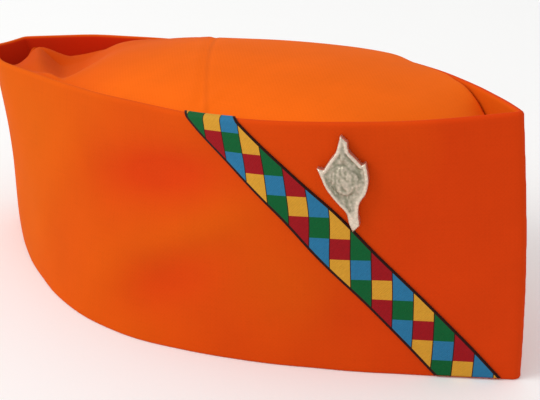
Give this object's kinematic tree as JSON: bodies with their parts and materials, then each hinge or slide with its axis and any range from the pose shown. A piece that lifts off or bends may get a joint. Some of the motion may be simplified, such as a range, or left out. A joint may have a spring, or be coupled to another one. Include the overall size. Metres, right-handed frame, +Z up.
{
  "type": "pahadi cap",
  "caption": "Boat-shaped folded cotton cap with a pointed front crease, a puffed crown between its sides, a slanting woven diamond ribbon and a cast flower brooch.",
  "frame": {"origin": "middle of the bottom of the bounding box, on the plane that the rim stands on", "axes": "+X to the pointed front crease, -Y to the side that carries the ribbon and the brooch, +Z up from the rim to the crown"},
  "size_m": [0.2576, 0.1261, 0.0964],
  "materials": {
    "orange_cotton": "matt plain-weave cotton over a soft stiffener, folded along the top",
    "crown_cotton": "matt plain-weave cotton, soft and puffed",
    "woven_ribbon": "woven ribbon with red, yellow, green and blue diamonds and dark edges",
    "cast_silver": "cast white metal with a soft silver shine and engraved relief",
    "bar_steel": "plain steel bar behind the brooch"
  },
  "bodies": {
    "root": {"side_band": "orange_cotton", "crown": "crown_cotton", "ribbon_trim": "woven_ribbon", "flower_brooch": "cast_silver", "brooch_bar": "bar_steel"}
  },
  "joints": []
}
